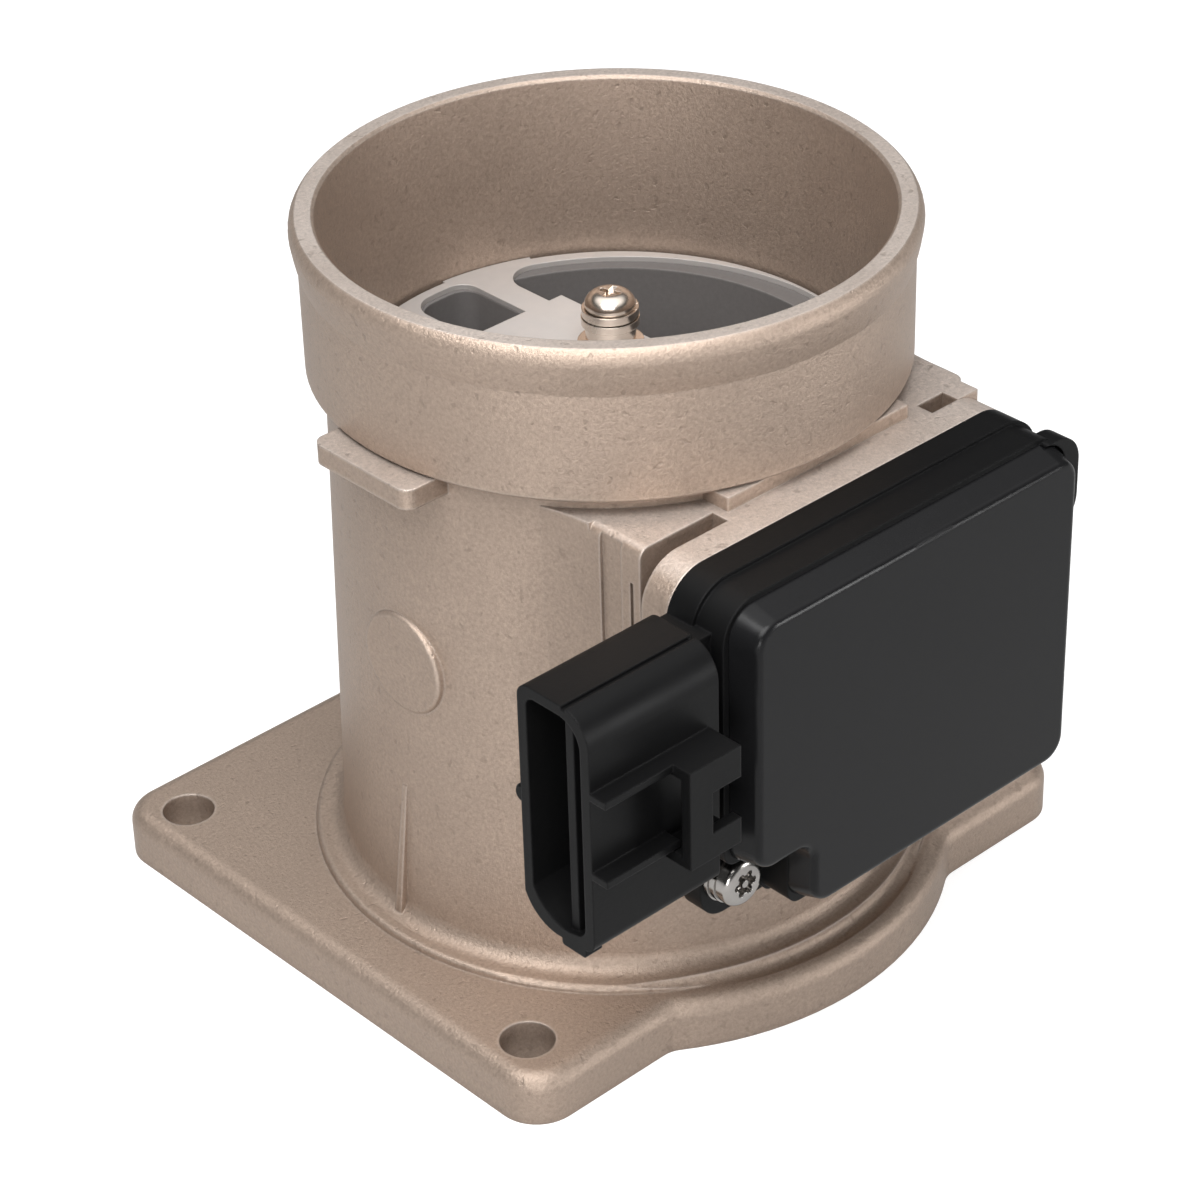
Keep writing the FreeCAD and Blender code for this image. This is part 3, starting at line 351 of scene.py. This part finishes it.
def circuit_lacquer(name, color):
    """Green solder lacquer with paler tracks below it."""
    material, tree, shader = start_material(name, Metallic=0.0, Coat_Weight=0.3)
    place = add(tree, "ShaderNodeTexCoord").outputs["Object"]
    bricks = add(tree, "ShaderNodeTexBrick", offset=0.37)
    fill(bricks, Scale=220.0, Mortar_Size=0.06)
    turn = fill(add(tree, "ShaderNodeMapping"), Rotation=(math.radians(90), 0, 0))
    link(tree, place, turn.inputs["Vector"])
    link(tree, turn.outputs["Vector"], bricks.inputs["Vector"])
    base = mix_color(tree, bricks.outputs["Fac"], color, scaled(color, 1.8))
    link(tree, base, shader.inputs["Base Color"])
    link(tree, remap(tree, bricks.outputs["Fac"], 0, 1, 0.35, 0.25), shader.inputs["Roughness"])
    relief = bump(tree, bricks.outputs["Fac"], strength=0.3, distance=0.04 * MM)
    link(tree, relief, shader.inputs["Normal"])
    return material


def dress(material, *names):
    for name in names:
        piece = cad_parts[name]
        piece.data.materials.clear()
        piece.data.materials.append(material)
        piece.data.set_sharp_from_angle(angle=SMOOTH_BELOW)


# Settings

class AIRFLOW_PG_casting(bpy.types.PropertyGroup):
    color: FloatVectorProperty(
        name="Casting colour", description="Colour of the cast body", subtype="COLOR",
        default=(0.43, 0.335, 0.27), min=0.0, max=1.0)
    roughness: FloatProperty(
        name="Casting roughness", description="Roughness of the blasted casting",
        default=0.42, min=0.0, max=1.0)


class AIRFLOW_PG_plastics(bpy.types.PropertyGroup):
    housing: FloatVectorProperty(
        name="Housing colour", description="Colour of the module housing and socket",
        subtype="COLOR", default=(0.0045, 0.0045, 0.0047), min=0.0, max=1.0)
    cover: FloatVectorProperty(
        name="Cover colour", description="Colour of the module cover", subtype="COLOR",
        default=(0.0075, 0.0075, 0.008), min=0.0, max=1.0)
    duct: FloatVectorProperty(
        name="Duct colour", description="Colour of the insert inside the bore",
        subtype="COLOR", default=(0.13, 0.121, 0.117), min=0.0, max=1.0)
    cover_roughness: FloatProperty(
        name="Cover roughness", description="Roughness of the glossy cover",
        default=0.2, min=0.0, max=1.0)


class AIRFLOW_PG_metals(bpy.types.PropertyGroup):
    plate: FloatVectorProperty(
        name="Plate colour", description="Colour of the stamped plates", subtype="COLOR",
        default=(0.58, 0.55, 0.53), min=0.0, max=1.0)
    plating: FloatVectorProperty(
        name="Plating colour", description="Colour of the screw and washers in the bore",
        subtype="COLOR", default=(0.72, 0.63, 0.55), min=0.0, max=1.0)
    nickel: FloatVectorProperty(
        name="Nickel colour", description="Colour of the screws that hold the module",
        subtype="COLOR", default=(0.42, 0.4, 0.38), min=0.0, max=1.0)


class AIRFLOW_PG_nub(bpy.types.PropertyGroup):
    place: FloatVectorProperty(
        name="Nub place", description="Middle of the nub's end at the socket's mouth",
        subtype="TRANSLATION", unit="LENGTH", default=(-0.05655, -0.044, 0.0603))
    radius: FloatProperty(
        name="Nub radius", description="Radius of the half-round nub", subtype="DISTANCE",
        unit="LENGTH", default=0.00125)
    length: FloatProperty(
        name="Nub length", description="Length of the nub along the socket",
        subtype="DISTANCE", unit="LENGTH", default=0.0018)


class AIRFLOW_PG_stage(bpy.types.PropertyGroup):
    azimuth: FloatProperty(
        name="Camera azimuth", description="Direction of the camera round the object",
        subtype="ANGLE", unit="ROTATION", default=math.radians(-42.339))
    elevation: FloatProperty(
        name="Camera elevation", description="Height angle of the camera", subtype="ANGLE",
        unit="ROTATION", default=math.radians(32.79))
    roll: FloatProperty(
        name="Camera roll", description="Turn of the camera about its own axis",
        subtype="ANGLE", unit="ROTATION", default=math.radians(1.653))
    distance: FloatProperty(
        name="Camera distance", description="From the camera to the point it looks at",
        subtype="DISTANCE", unit="LENGTH", default=0.497059)
    focal: FloatProperty(
        name="Focal length", description="In millimetres, on a 36 mm wide sensor",
        default=107.84)
    look_at: FloatVectorProperty(
        name="Look at", description="Point in the middle of the picture",
        subtype="TRANSLATION", unit="LENGTH", default=(-0.000062, 0.003215, 0.040252))
    top: FloatProperty(
        name="Top light", description="Power of the large light overhead", subtype="POWER",
        unit="POWER", default=1.3)
    left: FloatProperty(
        name="Left light", description="Power of the upright light on the left",
        subtype="POWER", unit="POWER", default=2.8)
    right: FloatProperty(
        name="Right light", description="Power of the upright light on the right",
        subtype="POWER", unit="POWER", default=2.7)
    sky: FloatProperty(
        name="Sky", description="Strength of the light from all around", default=0.07)
    zenith: FloatProperty(
        name="Zenith", description="Strength of the light from straight above", default=1.9)


# Operators, one for each piece or group of like pieces

class AIRFLOW_OT_casting(bpy.types.Operator):
    """Dress the cast body"""
    bl_idname = "airflow.casting"
    bl_label = "Cast body"

    def execute(self, context):
        settings = context.scene.airflow_casting
        dress(cast_metal("Cast aluminium", settings.color, settings.roughness), "body_casting")
        return {"FINISHED"}


class AIRFLOW_OT_duct(bpy.types.Operator):
    """Dress the moulded insert and the sensor holder in the bore"""
    bl_idname = "airflow.duct"
    bl_label = "Bore insert"

    def execute(self, context):
        settings = context.scene.airflow_plastics
        material = moulded_plastic("Duct plastic", settings.duct, 0.6, grain_strength=0.2)
        dress(material, "bypass_insert", "sensor_holder")
        return {"FINISHED"}


class AIRFLOW_OT_plates(bpy.types.Operator):
    """Dress the stamped plates"""
    bl_idname = "airflow.plates"
    bl_label = "Stamped plates"

    def execute(self, context):
        settings = context.scene.airflow_metals
        material = bright_metal("Stamped sheet", settings.plate, 0.45, dullness=0.15,
                                metallic=0.55)
        dress(material, "bypass_cover_plate", "heat_plate")
        return {"FINISHED"}


class AIRFLOW_OT_fasteners(bpy.types.Operator):
    """Dress the screws, washers and collar"""
    bl_idname = "airflow.fasteners"
    bl_label = "Screws and washers"

    def execute(self, context):
        settings = context.scene.airflow_metals
        warm = bright_metal("Warm plating", settings.plating, 0.18, dullness=0.5)
        dress(warm, "screw_collar", "plain_washer", "spring_washer", "cover_plate_screw")
        nickel = bright_metal("Nickel plating", settings.nickel, 0.13, dullness=0.5)
        dress(nickel, "corner_screw", "corner_spring_washer", "corner_plain_washer",
              "inner_screws", "sensor_pins")
        return {"FINISHED"}


class AIRFLOW_OT_housing(bpy.types.Operator):
    """Dress the module housing with its connector socket"""
    bl_idname = "airflow.housing"
    bl_label = "Module housing"

    def execute(self, context):
        settings = context.scene.airflow_plastics
        material = moulded_plastic("Housing plastic", settings.housing, 0.42,
                                   grain_size=1200.0, reflection=0.12)
        dress(material, "module_housing")
        return {"FINISHED"}


def nub_mesh(place, radius, length):
    """A half-round rib along X with tapered ends, its flat side sunk into the wall behind it."""
    x, y, z = place
    points, faces = [], []
    for share, grow in NUB_SECTIONS:
        for step in range(NUB_STEPS + 1):
            turn = math.pi * step / NUB_STEPS
            points.append((x + share * length, y + radius * grow * math.sin(turn),
                           z + radius * grow * math.cos(turn)))
        for side in (-1, 1):
            points.append((x + share * length, y - NUB_SUNK * radius, z + side * radius * grow))
    ring = len(points) // len(NUB_SECTIONS)
    last = len(points) - ring
    for row in range(len(NUB_SECTIONS) - 1):
        for step in range(ring):
            a, b = row * ring + step, row * ring + (step + 1) % ring
            faces.append((a, a + ring, b + ring, b))
    faces.append(tuple(range(ring)))
    faces.append(tuple(reversed(range(last, last + ring))))
    mesh = bpy.data.meshes.new("socket_nub")
    mesh.from_pydata(points, [], faces)
    mesh.shade_smooth()
    mesh.set_sharp_from_angle(angle=NUB_SMOOTH_BELOW)
    return mesh


class AIRFLOW_OT_nub(bpy.types.Operator):
    """Add the small nub on the outer edge of the connector socket, in the housing's finish"""
    bl_idname = "airflow.nub"
    bl_label = "Socket nub"

    def execute(self, context):
        settings = context.scene.airflow_nub
        nub = bpy.data.objects.new(
            "socket_nub", nub_mesh(settings.place, settings.radius, settings.length))
        nub.data.materials.append(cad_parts["module_housing"].data.materials[0])
        context.scene.collection.objects.link(nub)
        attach(nub, "root")
        return {"FINISHED"}


class AIRFLOW_OT_cover(bpy.types.Operator):
    """Dress the glossy module cover"""
    bl_idname = "airflow.cover"
    bl_label = "Module cover"

    def execute(self, context):
        settings = context.scene.airflow_plastics
        material = moulded_plastic("Cover plastic", settings.cover, settings.cover_roughness,
                                   grain_size=1000.0, grain_strength=0.05,
                                   round_radius=0.4 * MM)
        dress(material, "module_cover")
        return {"FINISHED"}


class AIRFLOW_OT_seals(bpy.types.Operator):
    """Dress the rubber seals"""
    bl_idname = "airflow.seals"
    bl_label = "Seals"

    def execute(self, context):
        dress(soft_rubber("Seal rubber", (0.02, 0.02, 0.02)), "flange_seal", "module_gasket",
              "holder_seal")
        return {"FINISHED"}


class AIRFLOW_OT_electronics(bpy.types.Operator):
    """Dress the board, its parts, the blades and the sensing elements"""
    bl_idname = "airflow.electronics"
    bl_label = "Electronics"

    def execute(self, context):
        dress(circuit_lacquer("Board lacquer", (0.02, 0.09, 0.035)), "circuit_board")
        dress(moulded_plastic("Chip plastic", (0.02, 0.02, 0.021), 0.5), "control_chip",
              "output_transistor")
        dress(moulded_plastic("Chip ceramic", (0.45, 0.36, 0.25), 0.5), "board_capacitors",
              "hot_element", "cold_element")
        dress(bright_metal("Tinned brass", (0.62, 0.58, 0.5), 0.25), "terminals")
        return {"FINISHED"}


def camera_matrix(settings):
    azimuth, elevation = settings.azimuth, settings.elevation
    back = Vector((math.sin(azimuth) * math.cos(elevation),
                   -math.cos(azimuth) * math.cos(elevation), math.sin(elevation)))
    right = Vector((math.cos(azimuth), math.sin(azimuth), 0.0))
    up = back.cross(right)
    c, s = math.cos(settings.roll), math.sin(settings.roll)
    turned_right = right * c - up * s
    turned_up = right * s + up * c
    turn = Matrix((turned_right, turned_up, back)).transposed()
    place = Vector(settings.look_at) + back * settings.distance
    return Matrix.Translation(place) @ turn.to_4x4()


def soft_light(name, place, size, power):
    data = bpy.data.lights.new(name, "AREA")
    data.shape = "RECTANGLE"
    data.size, data.size_y = size
    data.energy = power
    lamp = bpy.data.objects.new(name, data)
    lamp.location = place
    look = Vector(LAMP_AIM) - Vector(place)
    lamp.rotation_euler = look.to_track_quat("-Z", "Y").to_euler()
    bpy.context.scene.collection.objects.link(lamp)


def floor_material(color):
    material, tree, shader = start_material("Pale floor", Roughness=0.9)
    place = add(tree, "ShaderNodeTexCoord").outputs["Object"]
    cloud = noise(tree, place, 3.0, 2.0)
    link(tree, mix_color(tree, remap(tree, cloud, 0.3, 0.7, 0, 0.05), color, scaled(color, 0.97)),
         shader.inputs["Base Color"])
    path = add(tree, "ShaderNodeLightPath")
    reflected = math_node(tree, "MULTIPLY", path.outputs["Is Glossy Ray"],
                          FLOOR_GLOW_IN_REFLECTIONS)
    seen = math_node(tree, "MAXIMUM", path.outputs["Is Camera Ray"], reflected)
    shader.inputs["Emission Color"].default_value = WHITE
    link(tree, math_node(tree, "MULTIPLY", seen, FLOOR_GLOW), shader.inputs["Emission Strength"])
    return material


class AIRFLOW_OT_stage(bpy.types.Operator):
    """Set the floor, lights, world and camera"""
    bl_idname = "airflow.stage"
    bl_label = "Studio"

    def execute(self, context):
        scene = context.scene
        settings = scene.airflow_stage
        mesh = bpy.data.meshes.new("floor")
        corners = [(x * FLOOR_REACH, y * FLOOR_REACH, 0)
                   for x, y in ((-1, -1), (1, -1), (1, 1), (-1, 1))]
        mesh.from_pydata(corners, [], [(0, 1, 2, 3)])
        floor = bpy.data.objects.new("floor", mesh)
        floor.location.z = CAD_BOX[0][2]
        mesh.materials.append(floor_material(FLOOR_COLOR))
        scene.collection.objects.link(floor)

        for name, place, size in LAMPS:
            soft_light(name, place, size, getattr(settings, name))

        world = bpy.data.worlds.new("Studio sky")
        world.use_nodes = True
        scene.world = world
        tree = world.node_tree
        direction = add(tree, "ShaderNodeTexCoord").outputs["Generated"]
        split = add(tree, "ShaderNodeSeparateXYZ")
        link(tree, direction, split.inputs[0])
        sky = add(tree, "ShaderNodeMapRange", interpolation_type="SMOOTHSTEP")
        fill(sky, From_Min=ZENITH_FROM, From_Max=ZENITH_TO, To_Min=settings.sky,
             To_Max=settings.zenith)
        link(tree, split.outputs["Z"], sky.inputs["Value"])
        path = add(tree, "ShaderNodeLightPath")
        strength = math_node(tree, "MAXIMUM", path.outputs["Is Camera Ray"], sky.outputs["Result"])
        back = tree.nodes["Background"]
        back.inputs["Color"].default_value = WHITE
        link(tree, strength, back.inputs["Strength"])

        data = bpy.data.cameras.new("camera")
        data.lens = settings.focal
        data.sensor_width = SENSOR_WIDTH
        data.clip_start = CLIP_START
        camera = bpy.data.objects.new("camera", data)
        camera.matrix_world = camera_matrix(settings)
        scene.collection.objects.link(camera)
        scene.camera = camera
        scene.view_settings.view_transform = "Standard"
        return {"FINISHED"}


class AIRFLOW_PT_panel(bpy.types.Panel):
    """Lists the steps and their settings"""
    bl_idname = "AIRFLOW_PT_panel"
    bl_label = "Airflow sensor"
    bl_space_type = "VIEW_3D"
    bl_region_type = "UI"
    bl_category = "Airflow"

    def draw(self, context):
        for operator in OPERATORS:
            self.layout.operator(operator.bl_idname)
        for name in SETTINGS:
            group_settings = getattr(context.scene, name)
            box = self.layout.box()
            for key in group_settings.__annotations__:
                box.prop(group_settings, key)


SETTINGS = {
    "airflow_casting": AIRFLOW_PG_casting,
    "airflow_plastics": AIRFLOW_PG_plastics,
    "airflow_metals": AIRFLOW_PG_metals,
    "airflow_nub": AIRFLOW_PG_nub,
    "airflow_stage": AIRFLOW_PG_stage,
}

OPERATORS = (
    AIRFLOW_OT_casting,
    AIRFLOW_OT_duct,
    AIRFLOW_OT_plates,
    AIRFLOW_OT_fasteners,
    AIRFLOW_OT_housing,
    AIRFLOW_OT_nub,
    AIRFLOW_OT_cover,
    AIRFLOW_OT_seals,
    AIRFLOW_OT_electronics,
    AIRFLOW_OT_stage,
)


def register():
    for cls in (*SETTINGS.values(), *OPERATORS, AIRFLOW_PT_panel):
        bpy.utils.register_class(cls)
    for name, cls in SETTINGS.items():
        setattr(bpy.types.Scene, name, PointerProperty(type=cls))


def unregister():
    for name in SETTINGS:
        delattr(bpy.types.Scene, name)
    for cls in (AIRFLOW_PT_panel, *reversed(OPERATORS), *reversed(SETTINGS.values())):
        bpy.utils.unregister_class(cls)


def main():
    register()
    for operator in OPERATORS:
        family, action = operator.bl_idname.split(".")
        getattr(getattr(bpy.ops, family), action)()


if __name__ == "__main__":
    main()
